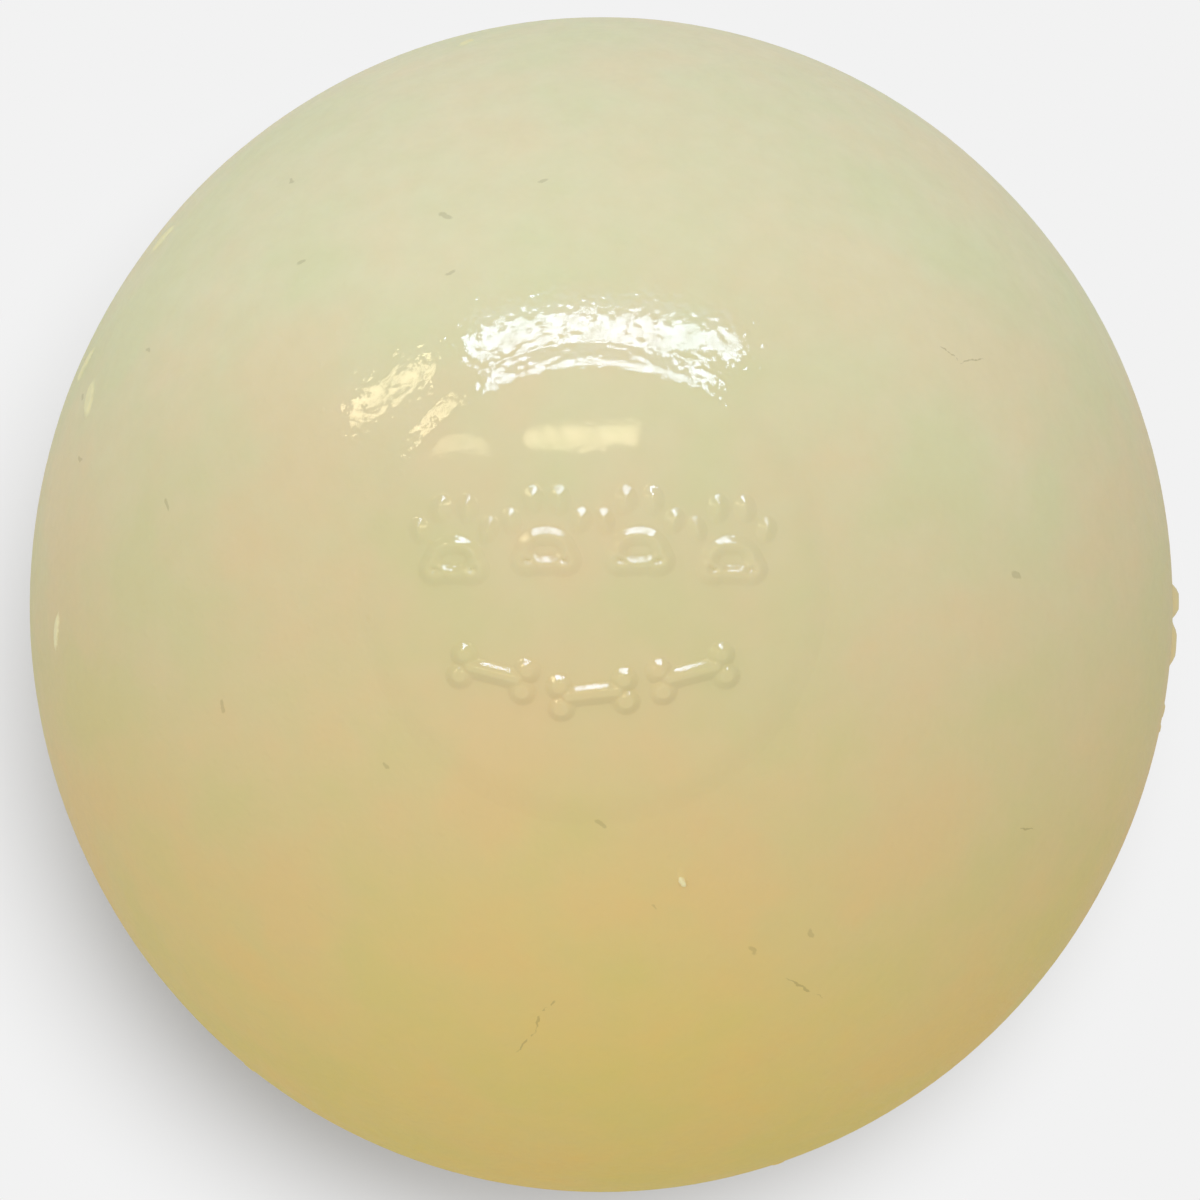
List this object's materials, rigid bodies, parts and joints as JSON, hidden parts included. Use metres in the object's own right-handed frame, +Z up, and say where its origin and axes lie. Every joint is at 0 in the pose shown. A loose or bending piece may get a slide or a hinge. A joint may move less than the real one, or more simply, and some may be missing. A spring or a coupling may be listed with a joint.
{
  "type": "squeaky dog ball",
  "caption": "Hollow rubber dog ball with a raised round badge on top and a reed squeaker clamped in a port at the bottom.",
  "frame": {"origin": "middle of the flat land that the ball stands on, at the bottom of its port", "axes": "+Z up through the raised badge disc, +Y along the ball's slightly longer width, +X across it"},
  "size_m": [0.0626, 0.0644, 0.0626],
  "materials": {
    "ball_rubber": "natural khaki-cream rubber, moulded with a fine matt grain, smooth on the badge disc",
    "squeaker_plastic": "white moulded polypropylene, satin",
    "cartridge_plastic": "natural cream moulded polypropylene, satin",
    "reed_film": "thin clear polyester film, glossy"
  },
  "bodies": {
    "port_half": {"port_shell": "ball_rubber", "squeaker_cover": "squeaker_plastic", "squeaker_body": "squeaker_plastic", "reed_sleeve": "cartridge_plastic", "reed_block": "cartridge_plastic", "reed_wedge": "cartridge_plastic"},
    "badge_half": {"badge_shell": "ball_rubber"},
    "reed": {"reed": "reed_film"}
  },
  "joints": [
    {"name": "squeeze", "type": "slide", "parent": "port_half", "child": "badge_half", "axis": [0, 0, -1], "range_m": [0, 0.012], "stiffness_N_per_m": 2500, "deforming": ["badge_shell"]},
    {"name": "reed_beat", "type": "hinge", "parent": "port_half", "child": "reed", "pos_m": [0, 0.0003, 0.0049], "axis": [-1, 0, 0], "range_deg": [-1.5, 4], "stiffness_Nm_per_rad": 0.000005}
  ]
}
